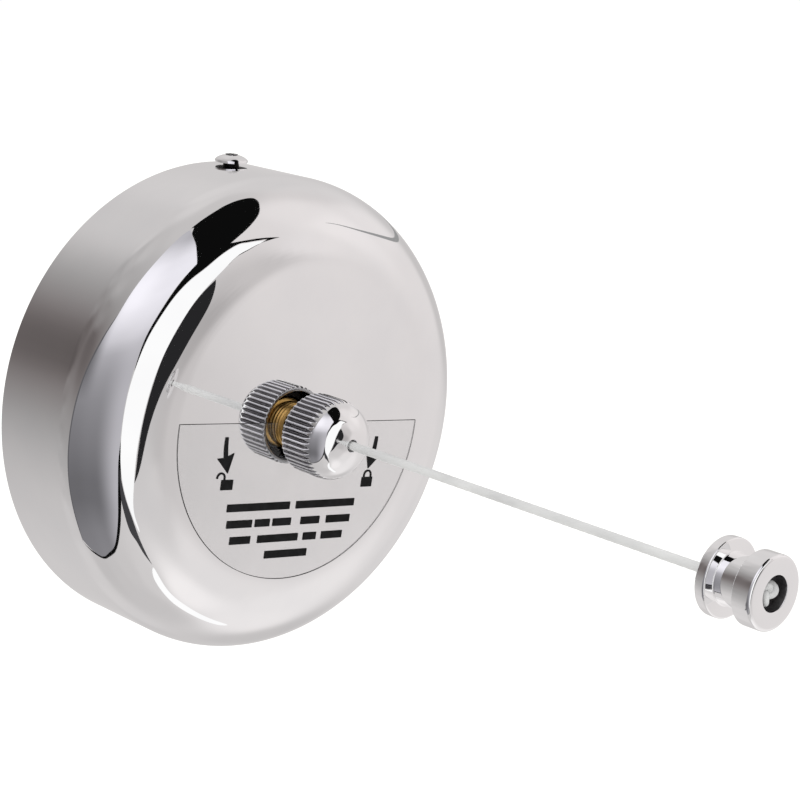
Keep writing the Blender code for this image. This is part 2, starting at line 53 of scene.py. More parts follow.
# Housing, as packed
HOUSING_RADIUS = 45.0
HOUSING_DEPTH = 30.6
SHOULDER_RADIAL = 16.9
SHOULDER_AXIAL = 13.0
SHOULDER_END = math.radians(89.0)
SHEET = 1.0
STEM_HOLE = 4.2
COVER_SCREW_DEPTH = 4.6
SCREW_ANGLE = math.radians(93.0)     # from +X towards +Z
SCREW_SHANK = 1.5
SCREW_SHANK_LENGTH = 8.0
SCREW_SEAT = HOUSING_RADIUS + 0.5
SCREW_HEAD = 3.15
SCREW_HEAD_HEIGHT = 1.5
SCREW_SOCKET = 1.0
WASHER_LOW = 43.1
WASHER_HIGH = WASHER_LOW + 0.6
WASHER_BORE = 1.8
WASHER_RADIUS = 2.8

# Lock and line, as packed
KNOB_BACK = 33.2
KNOB_CAVITY_END = 40.9
KNURL_END = 39.0
KNOB_TIP = 44.5
KNOB_RADIUS = 7.42
KNURL_DEPTH = 0.42
KNURL_COUNT = 44
KNOB_RELIEF = 6.5                    # counterbore at the back
KNOB_RELIEF_END = KNOB_BACK + 2.6
KNOB_EDGE = 0.5
STEM_RADIUS = 4.8
STEM_WAIST = 4.0
THREAD_START = 35.8
STEM_FRONT = 38.2
STEM_BACK = 25.6
STEM_BORE = 2.4
STEM_TAIL = 3.9
STEM_CAVITY_END = 34.4
STEM_PITCH = 0.8
LINE_RADIUS = 0.8
SPOOL_BACK = 129.3
SPOOL_LENGTH = 10.4
SPOOL_FLANGE = 6.4
SPOOL_FLANGE_END = 2.0
SPOOL_WAIST = 4.2
SPOOL_WAIST_END = 6.8
SPOOL_NOSE = 6.0
SPOOL_RECESS = 2.9
SPOOL_RECESS_DEPTH = 3.3
KNOT_DEPTH = 1.6
KNOT_OFFSET = -0.5
LINE_END = 136.5
LINE_RELIEF = 0.014                  # height of the strands
LINE_LAY = 1.9                       # length of one strand's third of a turn

# Label, in millimetres about the stem
LABEL_INNER = 6.4
LABEL_OUTER = 28.6
LABEL_TOP = 1.25
LABEL_TILT = math.radians(-1.7)
LABEL_LIFT = 0.04
LABEL_FILM = 0.05
INK_LIFT = LABEL_LIFT + LABEL_FILM + 0.004
INK = 0.01
BORDER_HALF = 0.05
BAR_HALF = 0.72
BAR_TOP = -14.45
BAR_PITCH = 3.08
BAR_ROWS = (((-15.4, -0.6), (0.9, 15.4)),
            ((-15.0, -9.1), (-8.4, -4.9), (-4.2, 0.2), (2.6, 7.2), (8.9, 14.8)),
            ((-13.8, -9.0), (-7.3, 2.4), (3.7, 6.9), (8.2, 13.4)),
            ((-5.1, 5.1),))

# Studio: cards on a sphere round the unit
STUDIO_RADIUS = 0.6
STUDIO_CENTRE = Vector((0.0, -0.02, 0.0))
FLOOR_SIZE = 12.0
FLOOR_LEVEL = -0.72
PALE = (1.0, 1.0, 0.985, 1.0)
WARM = (1.0, 0.955, 0.95)
COOL = (0.985, 0.965, 1.03)
ALBEDO = 0.93                        # the chrome's, which a card's tone makes up for

# Camera
CAMERA_AT = Vector((-0.26241, -0.32679, 0.08102))
CAMERA_FORWARD = Vector((0.68303, 0.70716, -0.18272))
CAMERA_ROLL = math.radians(7.023)
CAMERA_LENS = 99.0


# ---------------------------------------------------------------- nodes

def new_material(name):
    """A material with its node tree and its shader."""
    made = bpy.data.materials.new(name)
    made.use_nodes = True
    tree = made.node_tree
    return made, tree, tree.nodes["Principled BSDF"]


def coordinates(tree, scale=(1.0, 1.0, 1.0)):
    """Object coordinates in metres, scaled along each axis."""
    coord = tree.nodes.new("ShaderNodeTexCoord")
    mapping = tree.nodes.new("ShaderNodeMapping")
    mapping.inputs["Scale"].default_value = scale
    tree.links.new(coord.outputs["Object"], mapping.inputs["Vector"])
    return mapping.outputs["Vector"]


def noise_node(tree, vector, scale, detail=3.0, rough=0.5):
    """Noise over the vector, from 0 to 1."""
    node = tree.nodes.new("ShaderNodeTexNoise")
    node.inputs["Scale"].default_value = scale
    node.inputs["Detail"].default_value = detail
    node.inputs["Roughness"].default_value = rough
    tree.links.new(vector, node.inputs["Vector"])
    return node.outputs["Fac"]


def ramp(tree, value, stops):
    """A colour for the value, from (position, colour) stops."""
    node = tree.nodes.new("ShaderNodeValToRGB")
    node.color_ramp.elements[0].position = stops[0][0]
    node.color_ramp.elements[0].color = (*stops[0][1], 1.0)
    node.color_ramp.elements[1].position = stops[-1][0]
    node.color_ramp.elements[1].color = (*stops[-1][1], 1.0)
    for at, color in stops[1:-1]:
        node.color_ramp.elements.new(at).color = (*color, 1.0)
    tree.links.new(value, node.inputs["Fac"])
    return node.outputs["Color"]


def spread(tree, value, low, high, start=0.3, end=0.7):
    """The value, mapped from start..end to low..high."""
    node = tree.nodes.new("ShaderNodeMapRange")
    node.inputs["From Min"].default_value = start
    node.inputs["From Max"].default_value = end
    node.inputs["To Min"].default_value = low
    node.inputs["To Max"].default_value = high
    tree.links.new(value, node.inputs["Value"])
    return node.outputs["Result"]


def bump(tree, shader, height, strength, distance):
    """Fine relief on the shader. distance is in metres."""
    node = tree.nodes.new("ShaderNodeBump")
    node.inputs["Strength"].default_value = strength
    node.inputs["Distance"].default_value = distance
    tree.links.new(height, node.inputs["Height"])
    tree.links.new(node.outputs["Normal"], shader.inputs["Normal"])


def chrome_material(name, rough=(0.012, 0.04), wave=0.00002,
                    low=(0.905, 0.905, 0.912), high=(0.94, 0.938, 0.94)):
    """Polished chrome: faint cloudiness, hairline wiping marks, the swell of pressed sheet."""
    made, tree, shader = new_material(name)
    shader.inputs["Metallic"].default_value = 1.0
    vector = coordinates(tree)
    cloud = noise_node(tree, vector, 90.0, 4.0)
    tree.links.new(ramp(tree, cloud, [(0.3, low), (0.7, high)]), shader.inputs["Base Color"])
    hairs = noise_node(tree, coordinates(tree, (60.0, 900.0, 60.0)), 6.0, 2.0)
    mixed = tree.nodes.new("ShaderNodeMath")
    mixed.operation = "MULTIPLY"
    tree.links.new(cloud, mixed.inputs[0])
    tree.links.new(hairs, mixed.inputs[1])
    tree.links.new(spread(tree, mixed.outputs[0], rough[0], rough[1], 0.12, 0.4),
                   shader.inputs["Roughness"])
    bump(tree, shader, noise_node(tree, vector, 45.0, 1.0), 0.35, wave)
    return made


def metal_material(name, dark, light, rough, scale, relief=0.00003):
    """Plain metal with a fine grain between two colours."""
    made, tree, shader = new_material(name)
    shader.inputs["Metallic"].default_value = 1.0
    grain = noise_node(tree, coordinates(tree), scale, 5.0, 0.6)
    tree.links.new(ramp(tree, grain, [(0.32, dark), (0.68, light)]), shader.inputs["Base Color"])
    tree.links.new(spread(tree, grain, rough[0], rough[1]), shader.inputs["Roughness"])
    bump(tree, shader, grain, 0.4, relief)
    return made


def plastic_material(name, dark, light, rough):
    """Moulded plastic: a fine grain over broad, soft patches."""
    made, tree, shader = new_material(name)
    vector = coordinates(tree)
    grain = noise_node(tree, vector, 700.0, 4.0)
    patch = noise_node(tree, vector, 60.0, 2.0)
    tree.links.new(ramp(tree, patch, [(0.3, dark), (0.7, light)]), shader.inputs["Base Color"])
    tree.links.new(spread(tree, grain, rough[0], rough[1]), shader.inputs["Roughness"])
    bump(tree, shader, grain, 0.3, 0.00003)
    return made


def film_material(name):
    """Clear plastic film: nearly all see-through, a little milky, with fine cloudiness."""
    made, tree, shader = new_material(name)
    vector = coordinates(tree)
    cloud = noise_node(tree, vector, 140.0, 3.0)
    tree.links.new(ramp(tree, cloud, [(0.3, (0.52, 0.52, 0.53)), (0.7, (0.62, 0.62, 0.62))]),
                   shader.inputs["Base Color"])
    tree.links.new(spread(tree, cloud, 0.12, 0.22), shader.inputs["Roughness"])
    tree.links.new(spread(tree, cloud, 0.02, 0.05), shader.inputs["Alpha"])
    bump(tree, shader, cloud, 0.2, 0.00002)
    return made


def ink_material(name):
    """Matt black printing ink with faint wear."""
    made, tree, shader = new_material(name)
    grain = noise_node(tree, coordinates(tree), 900.0, 3.0)
    tree.links.new(ramp(tree, grain, [(0.3, (0.004, 0.004, 0.004)), (0.7, (0.012, 0.012, 0.013))]),
                   shader.inputs["Base Color"])
    tree.links.new(spread(tree, grain, 0.75, 0.95), shader.inputs["Roughness"])
    shader.inputs["Specular IOR Level"].default_value = 0.15
    return made


def cord_material(name):
    """Smooth twisted nylon: pale, slightly glossy, with soft grey patches."""
    made, tree, shader = new_material(name)
    vector = coordinates(tree)
    fine = noise_node(tree, vector, 2600.0, 3.0)
    patch = noise_node(tree, coordinates(tree, (1.0, 0.3, 1.0)), 300.0, 2.0)
    tree.links.new(ramp(tree, patch, [(0.3, (0.52, 0.52, 0.525)), (0.7, (0.65, 0.65, 0.65))]),
                   shader.inputs["Base Color"])
    tree.links.new(spread(tree, fine, 0.35, 0.55), shader.inputs["Roughness"])
    shader.inputs["Subsurface Weight"].default_value = 0.15
    shader.inputs["Subsurface Radius"].default_value = (0.001, 0.001, 0.001)
    bump(tree, shader, fine, 0.3, 0.00004)
    return made


# ---------------------------------------------------------------- meshes

def piece(name, verts, faces, material, body, replaced=(), smooth=35.0):
    """A new piece in metres. It rides on the body, when one is given."""
    mesh = bpy.data.meshes.new(name)
    mesh.from_pydata([tuple(v) for v in verts], [], faces)
    mesh.validate()
    bm = bmesh.new()
    bm.from_mesh(mesh)
    bmesh.ops.remove_doubles(bm, verts=bm.verts, dist=1e-8)
    bmesh.ops.recalc_face_normals(bm, faces=bm.faces)
    bm.to_mesh(mesh)
    bm.free()
    mesh.shade_smooth()
    mesh.set_sharp_from_angle(angle=math.radians(smooth))
    mesh.materials.append(material)
    made = bpy.data.objects.new(name, mesh)
    scene.collection.objects.link(made)
    if body:
        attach(made, body)
    if replaced:
        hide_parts(*replaced)
    return made


def rings_to_mesh(rings, closed_profile=True):
    """Vertices and quads of stacked rings. Each ring is an array of points, all of one length."""
    count = len(rings[0])
    verts = [tuple(p) for ring in rings for p in ring]
    faces = []
    last = len(rings) if closed_profile else len(rings) - 1
    for i in range(last):
        a = i * count
        b = (i + 1) % len(rings) * count
        for j in range(count):
            k = (j + 1) % count
            faces.append((a + j, a + k, b + k, b + j))
    return verts, faces


def ring_at(angles, radii, depth):
    """A ring about the unit's axis, depth mm from the wall. radii is one number or an array."""
    return np.stack([radii * np.cos(angles), np.full(len(angles), -depth),
                     radii * np.sin(angles)], axis=1) * MM


def around(profile, steps):
    """Rings about the unit's axis from (radius, depth) points in millimetres."""
    angles = np.linspace(0, math.tau, steps, endpoint=False)
    return [ring_at(angles, radius, depth) for radius, depth in profile]


def curve_between(start, end, centre, radial, axial, steps):
    """Points on an ellipse from angle start to end, in degrees, as (radius, depth)."""
    angles = [math.radians(start + (end - start) * i / steps) for i in range(steps + 1)]
    return [(centre[0] + radial * math.cos(a), centre[1] + axial * math.sin(a)) for a in angles]


def fillet(points, radii, steps=5):
    """Rounds the corners of a closed (radius, depth) outline. radii gives each corner's radius."""
    out = []
    count = len(points)
    for i in range(count):
        here = Vector(points[i])
        before = Vector(points[i - 1]) - here
        after = Vector(points[(i + 1) % count]) - here
        size = min(radii[i], before.length * 0.49, after.length * 0.49)
        if size < 1e-4:
            out.append(tuple(here))
            continue
        a = here + before.normalized() * size
        b = here + after.normalized() * size
        for j in range(steps + 1):
            t = j / steps
            out.append(tuple(a * (1 - t) ** 2 + here * (2 * t * (1 - t)) + b * t * t))
    return out


def face_depth(radius):
    """Depth of the crowned face at a radius."""
    slope = SHOULDER_AXIAL / SHOULDER_RADIAL / math.tan(SHOULDER_END)
    edge = HOUSING_RADIUS - SHOULDER_RADIAL + SHOULDER_RADIAL * math.cos(SHOULDER_END)
    return HOUSING_DEPTH - slope * radius * radius / (2 * edge)


def shell_outline(inset, steps):
    """The drawn shell, moved in by inset, from its rim to the stem's hole."""
    radial = SHOULDER_RADIAL - inset
    axial = SHOULDER_AXIAL - inset
    centre = HOUSING_RADIUS - SHOULDER_RADIAL
    slope = axial / radial / math.tan(SHOULDER_END)
    edge = centre + radial * math.cos(SHOULDER_END)
    wall_end = HOUSING_DEPTH - inset - slope * edge / 2 - axial * math.sin(SHOULDER_END)
    side = [(HOUSING_RADIUS - inset, wall_end * i / 8) for i in range(8)]
    shoulder = curve_between(0, math.degrees(SHOULDER_END), (centre, wall_end), radial, axial,
                             steps)
    face = []
    for i in range(1, steps // 2 + 1):
        radius = edge + (STEM_HOLE - edge) * i / (steps // 2)
        face.append((radius, HOUSING_DEPTH - inset - slope * radius * radius / (2 * edge)))
    return side + shoulder + face


# ---------------------------------------------------------------- camera and line

def make_camera():
    """The camera at the photograph's viewing angle."""
    forward = CAMERA_FORWARD.normalized()
    level = forward.cross(Vector((0, 0, 1))).normalized()
    upright = level.cross(forward)
    right = level * math.cos(CAMERA_ROLL) + upright * math.sin(CAMERA_ROLL)
    up = upright * math.cos(CAMERA_ROLL) - level * math.sin(CAMERA_ROLL)
    data = bpy.data.cameras.new("camera")
    data.lens = CAMERA_LENS
    data.sensor_width = 36.0
    data.clip_start = 0.01
    made = bpy.data.objects.new("camera", data)
    scene.collection.objects.link(made)
    turn = Matrix((right, up, -forward)).transposed().to_4x4()
    made.matrix_world = Matrix.Translation(CAMERA_AT) @ turn
    scene.camera = made


def line_tube(name, start, end, material, sides=28, step=0.14):
    """A taut line of three soft strands, laid with a slow twist."""
    count = int((end - start) / step)
    angles = np.linspace(0, math.tau, sides, endpoint=False)
    rings = []
    for i in range(count + 1):
        depth = start + (end - start) * i / count
        lay = np.cos(3 * angles + math.tau * depth / LINE_LAY)
        rings.append(ring_at(angles, LINE_RADIUS - LINE_RELIEF + LINE_RELIEF * lay, depth))
    verts, faces = rings_to_mesh(rings, False)
    faces.append(tuple(range(sides)))
    faces.append(tuple(len(verts) - sides + j for j in range(sides)))
    return piece(name, verts, faces, material, None, smooth=50.0)


def knot_piece(material):
    """The tight knot that stops the line in the bobbin: a trefoil of the line itself."""
    steps = 120
    sides = 16
    tube = 0.62
    centre = SPOOL_BACK + SPOOL_LENGTH - KNOT_DEPTH + 0.3
    t = np.linspace(0, math.tau, steps, endpoint=False)
    path = np.stack([(np.sin(t) + 2 * np.sin(2 * t)) * 0.55, -np.sin(3 * t) * 0.5,
                     (np.cos(t) - 2 * np.cos(2 * t)) * 0.55], axis=1)
    along = np.roll(path, -1, 0) - np.roll(path, 1, 0)
    along /= np.linalg.norm(along, axis=1)[:, None]
    side = np.cross(along, np.array([0, 1.0, 0]))
    side /= np.linalg.norm(side, axis=1)[:, None]
    lift = np.cross(side, along)
    angles = np.linspace(0, math.tau, sides, endpoint=False)
    rings = []
    for i in range(steps):
        spokes = np.cos(angles)[:, None] * side[i] + np.sin(angles)[:, None] * lift[i]
        ring = path[i] + tube * spokes
        ring[:, 0] += KNOT_OFFSET
        ring[:, 1] -= centre
        rings.append(ring * MM)
    verts, faces = rings_to_mesh(rings)
    return piece("line_knot_tied", verts, faces, material, "pull_end", ["line_knot"])


# ---------------------------------------------------------------- pieces

def shell_piece(material):
    """The polished cover, outside and inside."""
    outer = shell_outline(0.0, 120)
    inner = shell_outline(SHEET, 24)
    profile = outer + list(reversed(inner))
    verts, faces = rings_to_mesh(around(profile, 360))
    return piece("shell_polished", verts, faces, material, "housing", ["cover_shell"])


def radial_frame():
    """Axes of the cover screw: out through the wall, and two across it."""
    out = Vector((math.cos(SCREW_ANGLE), 0.0, math.sin(SCREW_ANGLE)))
    across = Vector((-out.z, 0.0, out.x))
    return out, across, Vector((0.0, -1.0, 0.0))


def screw_ring(sizes, reach):
    """A ring about the cover screw, reach mm from the unit's axis. sizes has each step's radius."""
    out, across, forward = radial_frame()
    base = forward * COVER_SCREW_DEPTH
    ring = []
    for j, size in enumerate(sizes):
        a = math.tau * j / len(sizes)
        spoke = across * math.cos(a) + forward * math.sin(a)
        ring.append((base + out * reach + spoke * size) * MM)
    return ring


def screw_piece(material, dark):
    """Round head with a six-sided socket."""
    steps = 96
    side = 12
    outline = [(SCREW_SHANK, HOUSING_RADIUS - SCREW_SHANK_LENGTH), (SCREW_SHANK, SCREW_SEAT),
               (SCREW_HEAD - 0.15, SCREW_SEAT)]
    outline += curve_between(side, 80, (0.0, SCREW_SEAT), SCREW_HEAD / math.cos(math.radians(side)),
                             SCREW_HEAD_HEIGHT, 18)
    top = outline[-1][1]
    outline.append((1.12 * 1.1, top + 0.02))
    rings = [screw_ring([radius] * steps, reach) for radius, reach in outline]
    third = math.pi / 3
    hexagon = [math.cos(math.pi / 6) / math.cos((math.tau * j / steps % third) - math.pi / 6)
               for j in range(steps)]
    for radius, reach in ((1.02, top - 0.08), (SCREW_SOCKET, SCREW_SEAT + 0.55),
                          (0.02, SCREW_SEAT + 0.45)):
        rings.append(screw_ring([radius * (flat * 1.12) for flat in hexagon], reach))
    verts, faces = rings_to_mesh(rings, False)
    faces.append(tuple(range(steps)))
    faces.append(tuple(len(verts) - steps + j for j in range(steps)))
    made = piece("cover_screw_head", verts, faces, material, "housing", ["cover_screw"])
    made.data.materials.append(dark)
    out, _, forward = radial_frame()
    base = forward * COVER_SCREW_DEPTH
    for face in made.data.polygons:
        reach = (face.center / MM).dot(out)
        off = (face.center / MM - base - out * reach).length
        # Faces under the head, on the shank and in the socket take the near-black look: painted
        # shade in the gap under the head and down the socket.
        if reach < SCREW_SEAT + 0.1 or (off < 1.1 and reach < top + 0.01):
            face.material_index = 1
    return made


def washer_piece(material):
    """The thin washer under the cover screw's head."""
    outline = fillet([(WASHER_BORE, WASHER_LOW), (WASHER_RADIUS, WASHER_LOW),
                      (WASHER_RADIUS, WASHER_HIGH),
                      (WASHER_BORE, WASHER_HIGH)], [0.05, 0.15, 0.15, 0.05])
    verts, faces = rings_to_mesh([screw_ring([radius] * 96, reach) for radius, reach in outline])
    return piece("cover_screw_ring", verts, faces, material, "housing",
                 ["cover_screw_washer"])


def knob_piece(material, shade, grooves, back):
    """A knurled barrel, its grooves running out on a plain dome, with a counterbore at its back.
    Its bore and counterbore carry near-black painted shade, and its grooves carry dark grey painted
    shade.
    """
    fine = 16
    steps = KNURL_COUNT * fine
    angles = np.linspace(0, math.tau, steps, endpoint=False)
    wave = np.abs(2 * (np.arange(steps) % fine) / fine - 1)
    ridge = KNOB_RADIUS - KNURL_DEPTH * np.clip(1.3 * wave - 0.15, 0, 1) ** 1.1
    cavity = STEM_RADIUS + 0.3
    hole = LINE_RADIUS + 0.3
    rings = [ring_at(angles, radius, depth) for radius, depth in (
        (hole, KNOB_CAVITY_END), (cavity, KNOB_CAVITY_END), (cavity, KNOB_RELIEF_END),
        (KNOB_RELIEF, KNOB_RELIEF_END), (KNOB_RELIEF, KNOB_BACK + 0.1),
        (KNOB_RELIEF + 0.1, KNOB_BACK))]
    for i in range(8):
        a = math.radians(12 * i)
        plain = KNOB_RADIUS - KNOB_EDGE + KNOB_EDGE * math.sin(a)
        depth = KNOB_BACK + KNOB_EDGE * (1 - math.cos(a))
        rings.append(ring_at(angles, np.minimum(ridge, plain), depth))
    for i in range(1, 7):
        rings.append(ring_at(angles, ridge,
                             KNOB_BACK + KNOB_EDGE + (KNURL_END - KNOB_EDGE - KNOB_BACK) * i / 7))
    rise = KNOB_TIP - KNURL_END
    for i in range(90):
        a = math.radians(i * 0.93)
        plain = KNOB_RADIUS * math.cos(a)
        if plain < hole + 0.2:
            break
        rings.append(ring_at(angles, np.minimum(ridge, plain), KNURL_END + rise * math.sin(a)))
    rings.append(ring_at(angles, hole + 0.1, KNOB_TIP - 0.07))
    rings.append(ring_at(angles, hole, KNOB_TIP - 0.2))
    verts, faces = rings_to_mesh(rings)
    made = piece("lock_knob_knurled", verts, faces, material, "knob", ["lock_knob"], 60.0)
    for look in (shade, grooves, back):
        made.data.materials.append(look)
    for face in made.data.polygons:
        x, y, z = face.center / MM
        reach = math.hypot(x, z)
        lift = max(0.0, -y - KNURL_END) / rise
        plain = KNOB_RADIUS * math.sqrt(max(0.0, 1 - lift * lift))
        # Faces in the bore and the back counterbore: near-black, painted shade.
        if reach < KNOB_RELIEF + 0.05 and -y < KNOB_CAVITY_END + 0.1 and reach < plain - 0.6:
            face.material_index = 1
        # Faces down in the knurl's grooves: dark grey, painted shade.
        elif reach > KNOB_RELIEF and plain - reach > KNURL_DEPTH * 0.32 and -y > KNOB_BACK + 0.15:
            face.material_index = 2
        elif -y < KNOB_BACK + 0.12:
            face.material_index = 3
    return made


def stem_piece(material):
    """The brass stem: a tail inside the shell, a foot on the face, a ridged waist and a thread."""
    angles = np.linspace(0, math.tau, 96, endpoint=False)
    seat = HOUSING_DEPTH + 0.3
    waist = seat + 0.75
    outline = [(STEM_BORE, STEM_BACK), (3.5, STEM_BACK), (STEM_TAIL, STEM_BACK + 0.4),
               (STEM_TAIL, seat),
               (4.65, seat), (STEM_RADIUS, seat + 0.12), (STEM_RADIUS, seat + 0.38),
               (4.65, seat + 0.5),
               (4.1, seat + 0.6)]
    for depth in np.arange(waist, THREAD_START - 0.35, 0.08):
        swell = 1 - math.cos(math.tau * (depth - seat - 0.75) / STEM_PITCH)
        outline.append((STEM_WAIST + 0.14 * swell, depth))
    outline += [(4.1, THREAD_START - 0.25), (STEM_RADIUS - 0.05, THREAD_START - 0.05)]
    rings = [ring_at(angles, radius, depth) for radius, depth in outline]
    count = 40
    for i in range(count + 1):
        depth = THREAD_START + (STEM_FRONT - 0.4 - THREAD_START) * i / count
        turn = (depth / STEM_PITCH + angles / math.tau) % 1.0
        groove = np.clip(1.3 * np.abs(2 * turn - 1) - 0.15, 0, 1)
        fade = min(1.0, (depth - THREAD_START) / 0.5)
        rings.append(ring_at(angles, STEM_RADIUS - 0.38 * groove * fade, depth))
    for radius, depth in ((STEM_RADIUS - 0.45, STEM_FRONT), (STEM_TAIL, STEM_FRONT),
                          (STEM_BORE, STEM_CAVITY_END)):
        rings.append(ring_at(angles, radius, depth))
    verts, faces = rings_to_mesh(rings)
    return piece("lock_stem_threaded", verts, faces, material, "housing", ["lock_stem"])


def spool_piece(material, shade):
    """The bobbin: a wide back flange, a waist for the bracket's fork, a recessed front flange."""
    front = SPOOL_LENGTH
    floor = front - SPOOL_RECESS_DEPTH
    bore = LINE_RADIUS + 0.6
    outline = [(bore, 0.0), (SPOOL_FLANGE, 0.0), (SPOOL_FLANGE, SPOOL_FLANGE_END),
               (SPOOL_WAIST, SPOOL_FLANGE_END), (SPOOL_WAIST, SPOOL_WAIST_END),
               (SPOOL_NOSE, SPOOL_WAIST_END),
               (SPOOL_NOSE, front - 0.35), (SPOOL_NOSE - 0.4, front), (SPOOL_RECESS, front),
               (SPOOL_RECESS, floor), (bore, floor)]
    radii = [0.1, 0.5, 0.35, 0.25, 0.2, 0.3, 0.3, 0.3, 0.12, 0.2, 0.1]
    profile = [(r, SPOOL_BACK + d) for r, d in fillet(outline, radii, 6)]
    verts, faces = rings_to_mesh(around(profile, 160))
    made = piece("end_spool_turned", verts, faces, material, "pull_end", ["end_spool"])
    made.data.materials.append(shade)
    for face in made.data.polygons:
        x, y, z = face.center / MM
        # Faces inside the front recess: mid-grey, painted shade.
        if math.hypot(x, z) < SPOOL_RECESS + 0.05 and -y < SPOOL_BACK + front - 0.15:
            face.material_index = 1
    return made


# ---------------------------------------------------------------- label

def on_label(x, z, lift):
    """A point of the label, from its own x and z, on the crowned face."""
    turned_x = x * math.cos(LABEL_TILT) - z * math.sin(LABEL_TILT)
    turned_z = x * math.sin(LABEL_TILT) + z * math.cos(LABEL_TILT)
    return (turned_x * MM, -(face_depth(math.hypot(x, z)) + lift) * MM, turned_z * MM)


def label_film(material):
    """A half-moon of clear film, cut round the stem."""
    rows, cols = 24, 120
    width = cols + 1
    layer = (rows + 1) * width
    verts, faces = [], []
    for lift in (LABEL_LIFT, LABEL_LIFT + LABEL_FILM):
        for i in range(rows + 1):
            radius = LABEL_INNER + (LABEL_OUTER - LABEL_INNER) * i / rows
            rise = math.asin(LABEL_TOP / radius)
            for j in range(width):
                angle = math.pi - rise + (math.pi + 2 * rise) * j / cols
                verts.append(on_label(radius * math.cos(angle), radius * math.sin(angle), lift))
    for base in (0, layer):
        for i in range(rows):
            for j in range(cols):
                a = base + i * width + j
                faces.append((a, a + 1, a + width + 1, a + width))
    rim = list(range(width)) + [i * width + cols for i in range(1, rows + 1)]
    rim += [rows * width + j for j in range(cols - 1, -1, -1)]
    rim += [i * width for i in range(rows - 1, 0, -1)]
    for k, a in enumerate(rim):
        b = rim[(k + 1) % len(rim)]
        faces.append((a, b, b + layer, a + layer))
    return piece("label_film_clear", verts, faces, material, "housing",
                 ["instruction_label"])


class Print:
    """Thin printed marks, gathered into one mesh."""

    def __init__(self):
        self.verts = []
        self.faces = []

    def band(self, left, right, closed=False):
        """A band between two lines of label points."""
        base = len(self.verts)
        count = len(left)
        for lift in (INK_LIFT, INK_LIFT + INK):
            for line in (left, right):
                self.verts.extend(on_label(x, z, lift) for x, z in line)
        a, b, c, d = (base + k * count for k in range(4))
        for i in range(count if closed else count - 1):
            j = (i + 1) % count
            self.faces += [(a + i, a + j, b + j, b + i), (c + i, d + i, d + j, c + j),
                           (a + i, c + i, c + j, a + j), (b + i, b + j, d + j, d + i)]
        if not closed:
            for i in (0, count - 1):
                self.faces.append((a + i, b + i, d + i, c + i))

    def stroke(self, points, half, closed=False):
        """A stroke along points. half is its half width, or a list of one for each point."""
        count = len(points)
        left, right = [], []
        for i in range(count):
            before = Vector(points[i - 1] if i or closed else points[0])
            after = Vector(points[(i + 1) % count] if i < count - 1 or closed else points[-1])
            side = (after - before).normalized() * (half[i] if isinstance(half, list) else half)
            left.append((points[i][0] - side.y, points[i][1] + side.x))
            right.append((points[i][0] + side.y, points[i][1] - side.x))
        self.band(left, right, closed)

    def bar(self, x0, x1, z, half):
        """A straight bar along x."""
        self.stroke([(x0 + (x1 - x0) * i / 6, z) for i in range(7)], half)

    def arrow(self, start, end, radius, growth):
        """A curved arrow about the stem, from one angle to another in degrees."""
        def at(angle, share):
            """A point of the arrow, where share of its growth is done."""
            a = math.radians(angle)
            r = radius + growth * share
            return (r * math.cos(a), r * math.sin(a))

        neck = start + (end - start) * 0.60
        shaft = [at(start + (neck - start) * i / 5, 0.6 * i / 5) for i in range(6)]
        self.stroke(shaft, [0.36, 0.4, 0.43, 0.46, 0.48, 0.5])
        tip = at(end, 1.0)
        hub = at(neck - (neck - start) * 0.08, 0.55)
        a = math.radians(start + (end - start) * 0.50)
        for side in (-1.95, 1.95):
            reach = radius + growth * 0.5 + side
            self.band([hub, hub], [(reach * math.cos(a), reach * math.sin(a)), tip])

    def padlock(self, x, z, opened):
        """A small padlock, its shackle swung clear when opened."""
        self.bar(x - 1.35, x + 1.35, z + 0.95, 0.95)
        shift = -1.55 if opened else 0.0
        size = 0.85
        arch = [(x + shift + size * math.cos(a), z + 2.3 + size * math.sin(a))
                for a in np.linspace(math.pi, 0, 9)]
        left_foot = (x + shift - size, z + (2.15 if opened else 1.8))
        self.stroke([left_foot] + arch + [(x + shift + size, z + 1.8)], 0.19)


def label_print(material):
    """A fine border, two arrows, an open and a closed padlock, and four rows of plain bars."""
    marks = Print()
    edge = LABEL_OUTER - 0.1
    rise = math.asin(LABEL_TOP / edge)
    top = LABEL_TOP - 0.02
    border = [(-LABEL_INNER - 1.0, top), (0.3 - edge, top)]
    border += [(edge * math.cos(a), edge * math.sin(a))
               for a in np.linspace(math.pi - rise, math.tau + rise, 100)]
    border += [(edge - 0.3, top), (LABEL_INNER + 1.0, top)]
    marks.stroke(border, BORDER_HALF)
    marks.arrow(184.0, 206.0, 17.6, 0.6)
    marks.arrow(-5.5, -24.5, 19.0, 0.5)
    marks.padlock(-16.2, -11.0, True)
    marks.padlock(17.9, -11.6, False)
    for row, bars in enumerate(BAR_ROWS):
        for x0, x1 in bars:
            marks.bar(x0, x1, BAR_TOP - BAR_PITCH * row, BAR_HALF)
    return piece("label_marks", marks.verts, marks.faces, material, "housing",
                 smooth=20.0)


# ---------------------------------------------------------------- studio

def direction(lon, lat):
    """Lon 0 faces the unit's front and 90 is to the right of it. Lat is above the horizon."""
    a, b = math.radians(lon), math.radians(lat)
    return Vector((math.sin(a) * math.cos(b), -math.cos(a) * math.cos(b), math.sin(b)))


def linear(tone):
    """Linear light of a display tone from 0 to 255."""
    value = tone / 255.0
    return value / 12.92 if value <= 0.04045 else ((value + 0.055) / 1.055) ** 2.4


def piecewise(value, stops):
    """Straight lines between (place, value) stops."""
    return float(np.interp(value, [s[0] for s in stops], [s[1] for s in stops]))


def smoothstep(low, high, value):
    """A soft step from 0 at low to 1 at high."""
    t = max(0.0, min(1.0, (value - low) / (high - low)))
    return t * t * (3 - 2 * t)


